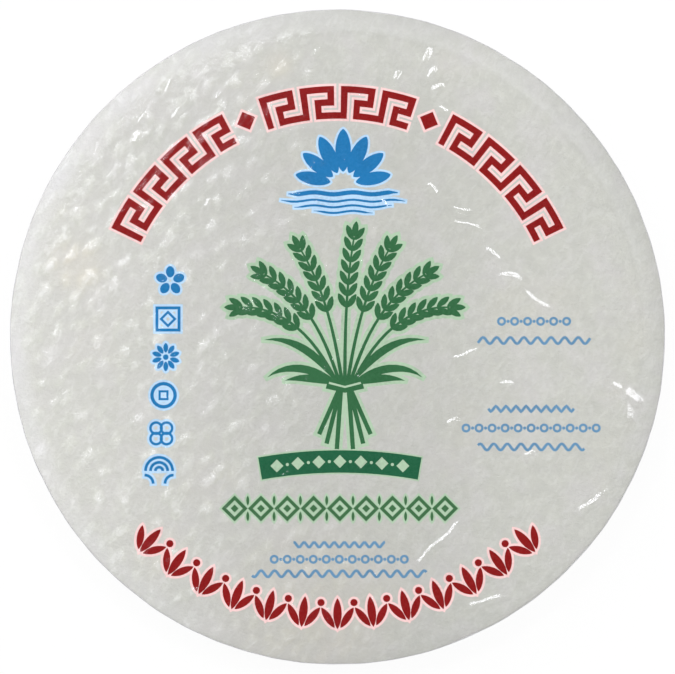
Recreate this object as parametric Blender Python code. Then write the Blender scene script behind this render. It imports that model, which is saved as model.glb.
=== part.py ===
# A sealed pack of round rice paper wrappers, lying on its back with the printed face up.
# The wrappers are a tight stack of thin discs, and clear film is shrunk over the stack,
# so the pack is one closed solid out to the film: a slightly uneven top, rounded shoulders
# where the film turns over the outer wrappers, creases down the side, pleats gathered
# round the underside, and a lap seam across the back.
#
# Metres. The origin is the centre of the underside, where the pack rests. +Z is up, and
# +Y points to the top of the printed face.

import math

import bmesh
import bpy
from mathutils import Vector

# The stack
WRAPPER_DIAMETER = 0.220
WRAPPER_COUNT = 37
WRAPPER_PITCH = 0.00058  # dried wrappers keep apart on the relief of their drying mat

# The film round it
SIDE_CLEARANCE = 0.0011  # what the wrappers' scatter and the film add to the radius
FILM_LIFT = 0.0003  # what the film adds at each face
SHOULDER_WIDTH = 0.0045  # where the film turns over the edge, across
SHOULDER_DROP = 0.0022  # and down

PACK_RADIUS = WRAPPER_DIAMETER / 2 + SIDE_CLEARANCE
PACK_HEIGHT = WRAPPER_COUNT * WRAPPER_PITCH + 2 * FILM_LIFT
FACE_RADIUS = PACK_RADIUS - SHOULDER_WIDTH  # where a face ends and its shoulder starts

# The underside: a flat ring that the pack rests on, inside it a shallow hollow where the
# taut film stands clear of the last wrapper, and outside it the gathered pleats.
HOLLOW_RADIUS = 0.074
HOLLOW_DEPTH = 0.0007
REST_INNER_RADIUS = 0.080
REST_OUTER_RADIUS = 0.095

SEAM_WIDTH = 0.012
SEAM_HALF_LENGTH = 0.088
SEAM_THICKNESS = 0.0012
SEAM_FOOT = 0.00005  # the seam stays this far above the plane that the pack rests on

# How finely the solid is cut
SEGMENTS = 144
SHOULDER_STEPS = 4
SIDE_STEPS = 5

# The film's unevenness
TOP_SWELL = 0.00022
SIDE_CREASE_DEPTH = 0.0004
PLEAT_DEPTH = 0.0009
GATHER_SPREAD = 0.42  # radians on either side of the seam's ends where pleats crowd

FILM_COLOUR = (0.68, 0.68, 0.64, 1.0)


def clear_scene():
    for thing in list(bpy.data.objects):
        bpy.data.objects.remove(thing)


def pack_material():
    material = bpy.data.materials.new("clear_film_over_rice_paper")
    material.use_nodes = True
    shader = material.node_tree.nodes["Principled BSDF"]
    shader.inputs["Base Color"].default_value = FILM_COLOUR
    shader.inputs["Roughness"].default_value = 0.22
    shader.inputs["Metallic"].default_value = 0.0
    material.diffuse_color = FILM_COLOUR
    return material


def quarter_round(centre_height, first_angle, last_angle):
    """The points of a shoulder's flattened arc, in the XZ plane, with both ends."""
    points = []
    for step in range(SHOULDER_STEPS + 1):
        angle = first_angle + (last_angle - first_angle) * step / SHOULDER_STEPS
        points.append(
            (
                FACE_RADIUS + SHOULDER_WIDTH * math.cos(angle),
                centre_height + SHOULDER_DROP * math.sin(angle),
            )
        )
    return points


def pack_profile():
    """Half of the pack's section, from the centre of its underside round to the top."""
    underside = [
        (0.0, HOLLOW_DEPTH),
        (HOLLOW_RADIUS * 0.35, HOLLOW_DEPTH),
        (HOLLOW_RADIUS * 0.70, HOLLOW_DEPTH * 0.93),
        (HOLLOW_RADIUS, HOLLOW_DEPTH * 0.35),
        (REST_INNER_RADIUS, 0.0),
        (REST_OUTER_RADIUS, 0.0),
        ((REST_OUTER_RADIUS + FACE_RADIUS) / 2, 0.0),
    ]
    lower_shoulder = quarter_round(SHOULDER_DROP, -math.pi / 2, 0.0)
    side_height = PACK_HEIGHT - 2 * SHOULDER_DROP
    side = [
        (PACK_RADIUS, SHOULDER_DROP + side_height * step / SIDE_STEPS)
        for step in range(1, SIDE_STEPS)
    ]
    upper_shoulder = quarter_round(PACK_HEIGHT - SHOULDER_DROP, 0.0, math.pi / 2)
    top = [
        (FACE_RADIUS * share, PACK_HEIGHT)
        for share in (0.95, 0.86, 0.74, 0.60, 0.44, 0.26, 0.0)
    ]
    return underside + lower_shoulder + side + upper_shoulder + top


def fade(value, start, end):
    """0 before start and 1 past end, smooth between them. end may be less than start."""
    share = min(1.0, max(0.0, (value - start) / (end - start)))
    return share * share * (3.0 - 2.0 * share)


def gather(angle):
    """1 at the two ends of the back seam, on +Y and -Y, falling to 0 away from them."""
    away = math.acos(min(1.0, abs(math.sin(angle))))
    return math.exp(-((away / GATHER_SPREAD) ** 2))


def crease(angle):
    """How far into a crease the film is at this bearing, from 0 on its ridges to 1."""
    wave = 0.5 + 0.3 * math.cos(17 * angle + 0.9) + 0.2 * math.cos(29 * angle + 2.3)
    return wave * wave


def pleat(angle):
    wave = 0.5 + 0.5 * math.cos(36 * angle + 0.8 * math.sin(5 * angle))
    return wave * wave


def swell(x, y):
    """The gentle rise and fall of the top film over the uppermost wrapper."""
    broad = math.sin(x / 0.021 + 0.7) * math.cos(y / 0.027 - 0.4)
    slanted = math.sin((x + 0.8 * y) / 0.016 + 2.1)
    return TOP_SWELL * (0.65 * broad + 0.35 * slanted)


def shape_film(point):
    """Moves a point of the turned solid to where the shrunk film lies."""
    radius = math.hypot(point.x, point.y)
    if radius < 1e-6:
        return
    angle = math.atan2(point.y, point.x)
    near_top = fade(point.z, PACK_HEIGHT - SHOULDER_DROP, PACK_HEIGHT)
    near_base = fade(point.z, SHOULDER_DROP, 0.0)
    on_side = fade(radius, FACE_RADIUS, PACK_RADIUS)

    waist = 1.0 - 0.65 * (1.0 - near_top) * (1.0 - near_base)
    draw_in = SIDE_CREASE_DEPTH * crease(angle) * on_side * waist
    beyond_rest = fade(radius, REST_OUTER_RADIUS, FACE_RADIUS) * near_base
    lift = PLEAT_DEPTH * pleat(angle) * beyond_rest * (0.45 + 0.55 * gather(angle))
    over_face = near_top * fade(radius, PACK_RADIUS, FACE_RADIUS * 0.93)

    height = point.z + lift + swell(point.x, point.y) * over_face
    point.xy = point.xy * ((radius - draw_in) / radius)
    point.z = height


def turned_pack():
    """The pack as a surface of revolution, then creased, as a mesh."""
    form = bmesh.new()
    profile = [form.verts.new((x, 0.0, z)) for x, z in pack_profile()]
    edges = [form.edges.new(pair) for pair in zip(profile, profile[1:])]
    bmesh.ops.spin(
        form,
        geom=profile + edges,
        cent=(0, 0, 0),
        axis=(0, 0, 1),
        angle=math.tau,
        steps=SEGMENTS,
    )
    bmesh.ops.remove_doubles(form, verts=form.verts, dist=1e-6)
    for corner in form.verts:
        shape_film(corner.co)
    middle = (
        Vector(map(min, *(v.co for v in form.verts)))
        + Vector(map(max, *(v.co for v in form.verts)))
    ) / 2
    bmesh.ops.translate(form, verts=form.verts, vec=(-middle.x, -middle.y, 0.0))
    bmesh.ops.recalc_face_normals(form, faces=form.faces)
    mesh = bpy.data.meshes.new("turned_pack")
    form.to_mesh(mesh)
    form.free()
    return mesh


def seam_strip():
    """The film's overlap down the back, as a thin rounded strip to be joined on."""
    form = bmesh.new()
    bmesh.ops.create_cube(form, size=1.0)
    bmesh.ops.scale(
        form, verts=form.verts, vec=(SEAM_WIDTH, 2 * SEAM_HALF_LENGTH, SEAM_THICKNESS)
    )
    bmesh.ops.translate(
        form, verts=form.verts, vec=(0, 0, SEAM_FOOT + SEAM_THICKNESS / 2)
    )
    upright = [
        e for e in form.edges if abs(e.verts[0].co.z - e.verts[1].co.z) > 1e-6
    ]
    bmesh.ops.bevel(
        form, geom=upright, offset=SEAM_WIDTH * 0.3, segments=4, affect="EDGES"
    )
    mesh = bpy.data.meshes.new("seam_strip")
    form.to_mesh(mesh)
    form.free()
    return mesh


def new_object(name, mesh):
    thing = bpy.data.objects.new(name, mesh)
    bpy.context.scene.collection.objects.link(thing)
    return thing


def build():
    clear_scene()
    pack = new_object("wrapper_pack", turned_pack())
    pack.data.materials.append(pack_material())

    seam = new_object("seam_strip", seam_strip())
    seam.hide_render = True
    seam.display_type = "WIRE"

    join = pack.modifiers.new("lap seam", "BOOLEAN")
    join.operation = "UNION"
    join.solver = "EXACT"
    join.object = seam

    pack.data.shade_smooth()
    pack.data.set_sharp_from_angle(angle=math.radians(35))


build()
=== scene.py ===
# The looks of a sealed pack of round rice paper wrappers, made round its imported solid.
# Metres, +Z up. The pack lies on its back, and +Y points to the top of its printed face.

import math

import bpy
import numpy as np
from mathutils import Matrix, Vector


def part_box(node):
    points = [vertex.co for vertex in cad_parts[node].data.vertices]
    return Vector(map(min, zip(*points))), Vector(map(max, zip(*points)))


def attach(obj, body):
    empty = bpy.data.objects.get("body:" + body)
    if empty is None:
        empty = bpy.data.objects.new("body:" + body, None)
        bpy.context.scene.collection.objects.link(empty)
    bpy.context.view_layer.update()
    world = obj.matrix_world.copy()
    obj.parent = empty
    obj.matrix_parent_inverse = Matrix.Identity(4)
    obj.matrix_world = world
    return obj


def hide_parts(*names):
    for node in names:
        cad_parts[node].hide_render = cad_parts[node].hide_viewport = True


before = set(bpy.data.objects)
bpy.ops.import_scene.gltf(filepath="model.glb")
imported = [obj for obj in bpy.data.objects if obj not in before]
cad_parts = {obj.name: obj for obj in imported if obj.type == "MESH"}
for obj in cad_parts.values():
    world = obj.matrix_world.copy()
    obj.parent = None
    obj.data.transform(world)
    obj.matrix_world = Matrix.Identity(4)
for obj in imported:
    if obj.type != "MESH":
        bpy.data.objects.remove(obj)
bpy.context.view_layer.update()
packLow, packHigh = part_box("wrapper_pack")

mm = 0.001
fullTurn = 2 * math.pi
packRadius = min(packHigh.x - packLow.x, packHigh.y - packLow.y) / 2
packTop = packHigh.z


# small helpers


def leaveEdit():
    bpy.ops.object.mode_set(mode="OBJECT")


def deselectAll():
    if bpy.context.object and bpy.context.object.mode != "OBJECT":
        leaveEdit()
    bpy.ops.object.select_all(action="DESELECT")


def pick(piece):
    deselectAll()
    piece.select_set(True)
    bpy.context.view_layer.objects.active = piece


def enterEdit(kind="VERT", action="SELECT"):
    # the active piece's edit mode, with all or nothing of it selected
    bpy.ops.object.mode_set(mode="EDIT")
    bpy.ops.mesh.select_mode(type=kind)
    bpy.ops.mesh.select_all(action=action)


def editAll(piece, kind="VERT"):
    pick(piece)
    enterEdit(kind)


def selectOpenEdges():
    bpy.ops.mesh.select_all(action="DESELECT")
    bpy.ops.mesh.select_non_manifold(
        extend=False, use_wire=False, use_boundary=True, use_multi_face=False,
        use_non_contiguous=False, use_verts=False,
    )


def rename(name):
    piece = bpy.context.object
    piece.name = name
    piece.data.name = name
    return piece


def readPlaces(piece):
    places = np.zeros(len(piece.data.vertices) * 3, np.float32)
    piece.data.vertices.foreach_get("co", places)
    return places.reshape(-1, 3).astype(float)


def writePlaces(piece, places):
    piece.data.vertices.foreach_set("co", places.astype(np.float32).ravel())
    piece.data.update()


def settle(piece):
    # the finished piece's place goes into its mesh
    pick(piece)
    bpy.ops.object.transform_apply(location=True, rotation=True, scale=True)


def joinAll(parts, name):
    deselectAll()
    for part in parts:
        part.select_set(True)
    bpy.context.view_layer.objects.active = parts[0]
    if len(parts) > 1:
        bpy.ops.object.join()
    return rename(name)


def copyOf(piece):
    twin = piece.copy()
    twin.data = piece.data.copy()
    bpy.context.scene.collection.objects.link(twin)
    return twin


def applyModifiers(piece):
    pick(piece)
    for modifier in list(piece.modifiers):
        bpy.ops.object.modifier_apply(modifier=modifier.name)


def fadeIn(value, start, end):
    # 0 before start and 1 past end; end may be less than start
    share = np.clip((value - start) / (end - start), 0, 1)
    return share * share * (3 - 2 * share)


def faceOutwards(piece):
    editAll(piece)
    bpy.ops.mesh.normals_make_consistent(inside=False)
    leaveEdit()


def shadeSmooth(piece, sharpAngle=60):
    pick(piece)
    bpy.ops.object.shade_smooth_by_angle(angle=math.radians(sharpAngle))


def addMark(piece, name, values):
    # a number for each point of a piece, which its material reads
    mark = piece.data.attributes.new(name, "FLOAT", "POINT")
    mark.data.foreach_set("value", values.astype(np.float32))


def centred(count, pitch):
    # places in a row with its middle at 0
    return [(number - (count - 1) / 2) * pitch for number in range(count)]


# the mat's mark: wrappers dry on a woven mat, which leaves a lattice of slanted bumps

mat = {
    "alongRow": (3.73 * mm, 9.15 * mm),
    "acrossRow": (10.17 * mm, -3.73 * mm),
    "bumpSlant": 56,  # degrees from +X
    "slantScatter": 20,
    "bumpLength": 2.2 * mm,
    "bumpWidth": 1.0 * mm,
    "strength": (0.4, 1.15),
    "stretch": (0.7, 1.35),
    "scatter": 0.16,  # of the lattice's pitch
    "warp": 0.8 * mm,
    "fineWarp": 0.35 * mm,
    "halfStepShare": 0.6,  # the weaker bumps between the rows
}


def latticeBumps(x, y, halfStep, seed):
    # the height, 0 to about 1, of one family of bumps
    rng = np.random.default_rng(seed)
    span = 40
    jitter = rng.uniform(-1, 1, (span, span, 2)) * mat["scatter"]
    strength = rng.uniform(*mat["strength"], (span, span))
    turn = rng.uniform(-mat["slantScatter"], mat["slantScatter"], (span, span))
    stretch = rng.uniform(*mat["stretch"], (span, span))
    (ax, ay), (bx, by) = mat["alongRow"], mat["acrossRow"]
    area = ax * by - ay * bx
    u = (x * by - y * bx) / area + halfStep
    v = (ax * y - ay * x) / area + halfStep
    height = np.zeros_like(x)
    for du in (-1, 0, 1):
        for dv in (-1, 0, 1):
            i = np.round(u).astype(int) + du
            j = np.round(v).astype(int) + dv
            a, b = i % span, j % span
            offU = u - i - jitter[a, b, 0]
            offV = v - j - jitter[a, b, 1]
            offX = offU * ax + offV * bx
            offY = offU * ay + offV * by
            slant = np.radians(mat["bumpSlant"] + turn[a, b])
            along = offX * np.cos(slant) + offY * np.sin(slant)
            across = offY * np.cos(slant) - offX * np.sin(slant)
            along = along / (mat["bumpLength"] * stretch[a, b])
            across = across / mat["bumpWidth"]
            height += strength[a, b] * np.exp(-(along**2 + across**2) / 2)
    return height


def matMark(x, y):
    # the two families of bumps, a little warped and broken up as dried paste is
    warpX = x + mat["warp"] * np.sin(y / 0.0031 + 1.3 * np.sin(x / 0.0057))
    warpX += mat["fineWarp"] * np.sin(y / 0.0009 + x / 0.0023)
    warpY = y + mat["warp"] * np.sin(x / 0.0027 + 1.1 * np.sin(y / 0.0061))
    warpY += mat["fineWarp"] * np.sin(x / 0.0008 - y / 0.0019)
    main = latticeBumps(warpX, warpY, 0.0, 11)
    between = latticeBumps(warpX, warpY, 0.5, 23)
    broken = np.sin(x / 0.0011 + 2 * np.sin(y / 0.0029))
    broken *= np.sin(y / 0.0010 + 2 * np.sin(x / 0.0033))
    return (main + mat["halfStepShare"] * between) * (0.85 + 0.3 * broken)


def clingStrength(x, y):
    # the film clings to the bumps on the left and floats free of them on the right
    lean = x + 0.12 * y
    patchy = 0.5 + 0.5 * np.sin(x / 0.017 + 1.0) * np.sin(y / 0.021 + 0.4)
    return (0.06 + 0.94 * fadeIn(lean, 42 * mm, -42 * mm)) * (0.7 + 0.3 * patchy)


# the film

film = {
    "faceDrop": 0.42 * mm,  # the face's mean level below its highest crease
    "shoulderWidth": 4.5 * mm,
    "shoulderDrop": 2.2 * mm,
    "rimPoints": 800,
    "shoulderSteps": 7,
    "sideSteps": 6,
    "swell": 0.14 * mm,
    "cling": 0.10 * mm,
    "foldCuts": 2,  # how much finer the mesh is where the film is folded
    "foldWander": 0.35 * mm,
    "foldLift": 0.1 * mm,  # how high a fold is before it stands clear of the bumps
    "sideCrease": 0.34 * mm,
    "sideRipple": 0.04 * mm,
    "pleat": 0.75 * mm,
    "pucker": 0.22 * mm,
    "backBelow": 1.5 * mm,
    "gatherSpread": 0.42,
    "restInner": 80 * mm,
    "restSteps": 11,
    "restOuter": 95 * mm,
    "hollowDepth": 0.7 * mm,
    "hollow": ((74, 0.35), (62, 0.8), (50, 1), (36, 1), (22, 1), (9, 1)),  # radius, share of the depth
    "rollOff": 0.16 * mm,  # the face's fall just before its shoulder
    "rollFrom": 99 * mm,
    "clear": 0.12 * mm,  # keeps the film off the plane that it rests on, for the seam
}
faceRadius = packRadius - film["shoulderWidth"]
faceLevel = packTop - film["faceDrop"]

# short creases where the film stands up in a fold: x, y, turn in degrees, length, width
filmCreases = [
    (30, 95, 60, 7.5, 1.3),
    (32, 89, 48, 6, 1.46),
    (34, 84, 35, 6, 1.46),
    (20.5, 88, 70, 4.5, 1.3),
    (36, 77, -35, 4.5, 1.3),
    (32, 50, -60, 6, 1.46),
    (42, 43, -8, 10.5, 1.13),
    (41.5, 41.6, -6, 9, 1.13),
    (42, 38.5, -5, 9, 1.13),
    (46, 37, -15, 6, 1.13),
    (16, 45, -50, 4.5, 1.3),
    (52, 28, -35, 9, 1.46),
    (58, 20, -8, 10.5, 2.1),
    (67.5, 12, -33, 18, 1.46),
    (94.2, -16.8, -35, 6, 1.7),
    (99.4, -20.4, -43, 11, 2.8),
    (97.3, -21.4, -20, 4, 1.1),
    (98, -25, -82, 12, 2.8),
    (57, -16, -8, 6, 1.46),
    (39, -29, 20, 6, 1.62),
    (65, -40, 30, 4.5, 1.46),
    (99, -42.5, 40, 3, 1.3),
    (43.5, -6, 17, 15, 1.46),
    (34.5, -69.5, 43, 35, 1.5),
    (50, -89.5, 13, 20, 1.4),
    (86, -56, 38, 16, 1.6),
    (-57.4, 84.9, 66, 8, 2.0),
    (-54.2, 75.7, 70, 6.5, 1.5),
    (-66.2, 74, 57, 8.5, 1.6),
    (-67.5, 67, 65, 6, 2.0),
    (-72.5, 74.2, 50, 4.5, 1.2),
    (-81.8, 64.4, 68, 7.5, 1.3),
    (-91.9, 44.4, 68, 5, 1.4),
    (-43.7, 45, 58, 5, 1.2),
    (-74.4, 56.4, 42, 7, 1.1),
    (-49.8, 81.8, 56, 5, 1.1),
    (-40.4, 81.8, 60, 4, 1.0),
    (-52.7, 48.8, 60, 3.5, 1.0),
    (-77, 79.5, 46, 4, 0.8),
    (-87, 56, 64, 5, 0.9),
]


def creaseFrame(x, y, crease):
    # a point's place along and across a crease, whose line wanders a little
    cx, cy, turn = crease[:3]
    slant = math.radians(turn)
    offX = x - cx * mm
    offY = y - cy * mm
    along = offX * math.cos(slant) + offY * math.sin(slant)
    across = offY * math.cos(slant) - offX * math.sin(slant)
    return along, across - film["foldWander"] * np.sin(along / (2.1 * mm) + cx)


def foldSlope(crease):
    # how steep a fold's upper side is to mirror the bow of lamps to the camera
    cx, cy, turn = crease[:3]
    away = math.radians(stage["lampTilt"])
    lampHeight = math.cos(away) * stage["lightDistance"] - faceLevel
    lampReach = math.sin(away) * stage["lightDistance"] / lampHeight
    nearness = (1 / (stage["cameraHeight"] - faceLevel) + 1 / lampHeight) * mm
    facing = math.radians(turn % 180 + 90 if turn % 180 < 90 else turn % 180 - 90)
    outX, outY = math.cos(facing), math.sin(facing)
    towards = cx * outX + cy * outY
    across = nearness * (cy * outX - cx * outY)
    slope = (math.sqrt(lampReach**2 - across**2) - nearness * towards) / 2
    # and as much more as the face itself rises from the fold's ridge to its foot
    ridgeX, ridgeY, foot = cx * mm, cy * mm, crease[4] * mm
    footHeight = faceHeight(ridgeX + foot * outX, ridgeY + foot * outY, 0)
    return slope + (footHeight - faceHeight(ridgeX, ridgeY, 0)) / foot


def pastRoll(radius):
    return np.clip((radius - film["rollFrom"]) / (faceRadius - film["rollFrom"]), 0, 1)


def creaseRelief(x, y):
    # roof shaped folds
    height = np.zeros_like(x)
    for crease in filmCreases:
        length, width = (value * mm for value in crease[3:])
        along, across = creaseFrame(x, y, crease)
        ends = fadeIn(np.abs(along), length / 2, length / 5)
        uneven = 0.98 + 0.04 * np.sin(along / (0.9 * mm) + crease[1])
        side = 1 - np.abs(across) / width
        roof = 0.5 * (side + np.sqrt(side**2 + 0.03)) - 0.01
        fold = foldSlope(crease) * width * uneven * ends * np.clip(roof, 0, 1)
        height = np.maximum(height, fold)
    return height


def lyingShare(x, y):
    # 1 where the film lies on the wrapper, and 0 on its folds, which stand clear
    return 1 - np.clip(creaseRelief(x, y) / film["foldLift"], 0, 1)


def nearRim(radius):
    # 1 over the face, and 0 where its relief has died away at the shoulder
    return fadeIn(radius, faceRadius + 1 * mm, faceRadius - 7 * mm)


def faceSwell(x, y):
    # the gentle rise and fall of the film and of the uppermost wrapper
    broad = np.sin(x / 0.021 + 0.7) * np.cos(y / 0.027 - 0.4)
    slanted = np.sin((x + 0.8 * y) / 0.016 + 2.1)
    swell = 0.65 * broad + 0.35 * slanted
    return film["swell"] * swell * nearRim(np.hypot(x, y))


def faceHeight(x, y, lying=1):
    # the film's top face without its creases, for the film and for the print under it
    radius = np.hypot(x, y)
    bumps = film["cling"] * lying * clingStrength(x, y) * (matMark(x, y) - 0.35)
    height = faceLevel + faceSwell(x, y) + bumps * nearRim(radius)
    return height - film["rollOff"] * pastRoll(radius) ** 2


def rimProfile():
    # radius and height of each ring, from the face's edge round to the middle of the back
    rings = []
    steps, sideSteps = film["shoulderSteps"], film["sideSteps"]
    across, down = film["shoulderWidth"], film["shoulderDrop"]
    sideTop = faceLevel - down
    down -= film["rollOff"]
    for step in range(1, steps + 1):
        angle = math.pi / 2 * (1 - step / steps)
        rings.append((faceRadius + across * math.cos(angle), sideTop + down * math.sin(angle)))
    down = film["shoulderDrop"]
    for step in range(1, sideSteps + 1):
        rings.append((packRadius, sideTop + (down - sideTop) * step / sideSteps))
    for step in range(1, steps + 1):
        angle = -math.pi / 2 * step / steps
        rings.append((faceRadius + across * math.cos(angle), down + down * math.sin(angle)))
    base = film["clear"]
    for radius in np.linspace(faceRadius - 2.5 * mm, film["restInner"], film["restSteps"]):
        rings.append((radius, base))
    for radius, share in film["hollow"]:
        rings.append((radius * mm, base + film["hollowDepth"] * share))
    return rings


def sideDraw(angle, z):
    # how far the creases down the side draw the film in, and the wrappers' edges with it
    wave = 0.5 + 0.3 * np.cos(17 * angle + 0.9) + 0.2 * np.cos(29 * angle + 2.3)
    nearTop = fadeIn(z, faceLevel - film["shoulderDrop"], faceLevel)
    nearBase = fadeIn(z, film["shoulderDrop"], 0.0)
    waist = 1 - 0.65 * (1 - nearTop) * (1 - nearBase)
    return film["sideCrease"] * wave**2 * waist


def backLift(radius, angle, z):
    # the pleats gathered outside the ring that the pack rests on, and the puckers inside it
    away = np.arccos(np.clip(np.abs(np.sin(angle)), 0, 1))
    gather = np.exp(-((away / film["gatherSpread"]) ** 2))
    pleat = (0.5 + 0.5 * np.cos(36 * angle + 0.8 * np.sin(5 * angle))) ** 2
    nearBase = fadeIn(z, film["shoulderDrop"], 0.0)
    beyondRest = fadeIn(radius, film["restOuter"], faceRadius) * nearBase
    lift = film["pleat"] * pleat * beyondRest * (0.45 + 0.55 * gather)
    pucker = np.sin(44 * angle + 1.5 * np.sin(7 * angle)) ** 2
    innerBand = fadeIn(radius, 45 * mm, 66 * mm) * fadeIn(radius, 92 * mm, 82 * mm)
    return lift + film["pucker"] * pucker * innerBand * (z < film["backBelow"])


def shapeFilm(places):
    # the turned film is creased down its side, pleated at the back and folded on its face
    x, y, z = places.T
    radius = np.hypot(x, y)
    angle = np.arctan2(y, x)
    onSide = fadeIn(radius, faceRadius, packRadius)
    fine = np.sin(61 * angle + 2.2 * np.sin(z / 0.0023 + 5 * angle))
    drawIn = (sideDraw(angle, z) + film["sideRipple"] * (1 + fine)) * onSide
    onFace = (z > faceLevel - 0.05 * mm) & (radius < faceRadius + 0.1 * mm)
    folded = faceHeight(x, y, lyingShare(x, y)) + creaseRelief(x, y)
    height = np.where(onFace, folded, z + backLift(radius, angle, z))
    scale = (radius - drawIn) / np.maximum(radius, 1e-6)
    return np.column_stack((x * scale, y * scale, np.clip(height, film["clear"], packTop)))


def growRings(rings, startRadius, startHeight):
    # the open edge is selected, and it is pulled from ring to ring
    lastRadius, lastHeight = startRadius, startHeight
    for radius, height in rings:
        drop = (0, 0, height - lastHeight)
        bpy.ops.mesh.extrude_edges_move(TRANSFORM_OT_translate={"value": drop})
        scale = radius / lastRadius
        bpy.ops.transform.resize(value=(scale, scale, 1), center_override=(0, 0, 0))
        lastRadius, lastHeight = radius, height


def addFilledDisc(radius, height, rimPoints):
    # left in edit mode with its open edge selected
    deselectAll()
    bpy.ops.mesh.primitive_circle_add(vertices=rimPoints, radius=radius)
    enterEdit("EDGE")
    bpy.ops.transform.translate(value=(0, 0, height))
    bpy.ops.mesh.fill_grid(span=rimPoints // 4)
    selectOpenEdges()


def cutFinerAtCreases(piece):
    pick(piece)
    enterEdit("FACE", "DESELECT")
    leaveEdit()
    middles = np.array([face.center for face in piece.data.polygons])
    near = np.zeros(len(middles), bool)
    for crease in filmCreases:
        length, width = (value * mm for value in crease[3:])
        along, across = creaseFrame(middles[:, 0], middles[:, 1], crease)
        near |= (np.abs(along) < length / 2 + 0.5 * mm) & (np.abs(across) < 2.3 * width)
    near &= middles[:, 2] > faceLevel - 0.1 * mm
    piece.data.polygons.foreach_set("select", near)
    bpy.ops.object.mode_set(mode="EDIT")
    bpy.ops.mesh.subdivide(number_cuts=film["foldCuts"], quadcorner="INNERVERT")
    leaveEdit()


def crinkle(x, y, z):
    # where fine wrinkles break up the film's gloss: on the bumps, the folds and the upper left edge
    radius = np.hypot(x, y)
    angle = np.arctan2(y, x)
    onTop = fadeIn(z, faceLevel - 1.2 * mm, faceLevel - 0.6 * mm)
    bumps = clingStrength(x, y) * np.clip(matMark(x, y), 0, 1.3)
    folds = 0.15 * creaseRelief(x, y) / mm
    edge = fadeIn(radius, 97 * mm, 104 * mm) * np.exp(-(((angle - 2.45) / 0.55) ** 2))
    gathered = 0.5 * fadeIn(z, 2.2 * mm, 0.6 * mm) * fadeIn(radius, 84 * mm, 98 * mm)
    onFace = (bumps + 0.8 * edge) * lyingShare(x, y) + folds
    return 0.05 + onFace * onTop + gathered


def haze(x, y):
    # where the film's gloss is soft: on its rolled rim, and a little where it clings
    shinyEdge = 0.35 * np.exp(-(((np.arctan2(y, x) - 2.4) / 0.4) ** 2))
    rolled = fadeIn(np.hypot(x, y), faceRadius - 5 * mm, faceRadius + 2 * mm) * (1 - shinyEdge)
    return np.maximum(rolled, 0.12 * clingStrength(x, y)) * lyingShare(x, y)


def makeFilmWrap():
    addFilledDisc(faceRadius, faceLevel, film["rimPoints"])
    growRings(rimProfile(), faceRadius, faceLevel)
    bpy.ops.mesh.merge(type="CENTER")
    leaveEdit()
    piece = rename("filmWrap")
    cutFinerAtCreases(piece)
    faceOutwards(piece)
    flat = readPlaces(piece)
    x, y, z = flat.T
    writePlaces(piece, shapeFilm(flat))
    addMark(piece, "crinkle", crinkle(x, y, z))
    addMark(piece, "haze", haze(x, y))
    addMark(piece, "loose", 1 - clingStrength(x, y))
    shadeSmooth(piece)
    return piece


# the wrappers

wrapper = {
    "count": 37,
    "radius": packRadius - 0.24 * mm,
    "thickness": 0.28 * mm,
    "lowest": 1.05 * mm,
    "underFilm": 0.44 * mm,  # from the face's mean level down to the top wrapper
    "rimPoints": 1000,
    "droopFrom": 102 * mm,
    "topDroop": 1.26 * mm,
    "backDroop": 1.2 * mm,
    "matRelief": 0.34 * mm,
    "edgeScatter": 0.22 * mm,
    "waveFrom": 84 * mm,
    "wave": (0.16 * mm, 0.07 * mm),  # of the inner wrappers' edges, broad and fine
}
wrapperTop = faceLevel - wrapper["underFilm"]
wrapperPitch = (wrapperTop - wrapper["thickness"] - wrapper["lowest"]) / (wrapper["count"] - 1)

# x, y and size in millimetres, and strength
warmSpots = [(-88, 24, 9, 0.6), (-20, 92, 5, 0.5), (-10, -94, 26, 0.4), (-60, -72, 9, 0.3)]


def rimDroop(radius, level):
    # wrappers near the top and the back bend in under the film's shoulder
    start = wrapper["droopFrom"]
    past = np.clip((radius - start) / (wrapper["radius"] - start), 0, 1.2)
    fromTop = wrapper["count"] - 1 - level
    down = wrapper["topDroop"] * 0.78**fromTop
    up = wrapper["backDroop"] * 0.74**level
    return past**2 * (up - down)


def drawnIn(x, y, z):
    # the share of its place that a wrapper's point keeps as the film pulls the edge in
    reach = np.hypot(x, y)
    pull = sideDraw(np.arctan2(y, x), z) * fadeIn(reach, 100 * mm, wrapper["radius"])
    return 1 - pull / wrapper["radius"]


def paintedShade(x, y):
    # painted shade on the sheet: least at the left, most right of the middle and at the bottom
    across = fadeIn(x, -125 * mm, 2 * mm) - 0.3 * fadeIn(x, 25 * mm, 70 * mm)
    down = 0.12 * fadeIn(y, -62 * mm, -108 * mm) * fadeIn(x, -80 * mm, 20 * mm)
    up = 0.3 * fadeIn(y, 65 * mm, 98 * mm)
    # and more painted shade round the upper right edge, where the sheet turns towards the lamps
    turned = np.clip(np.cos(np.arctan2(y, x) - 0.9), 0, 1)
    turned *= fadeIn(np.hypot(x, y), 101 * mm, 105 * mm)
    left = 0.12 * fadeIn(y, 0, -60 * mm) * fadeIn(x, -20 * mm, -80 * mm)
    return np.clip(across + down - up - left + 0.45 * turned, 0, 1.2)


def warmth(x, y):
    # a few spots where the dried paste is yellower
    warmest = np.zeros_like(x)
    for spotX, spotY, size, strength in warmSpots:
        away = np.hypot(x - spotX * mm, y - spotY * mm) / (size * mm)
        warmest = np.maximum(warmest, strength * np.exp(-(away**3)))
    return warmest


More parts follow.
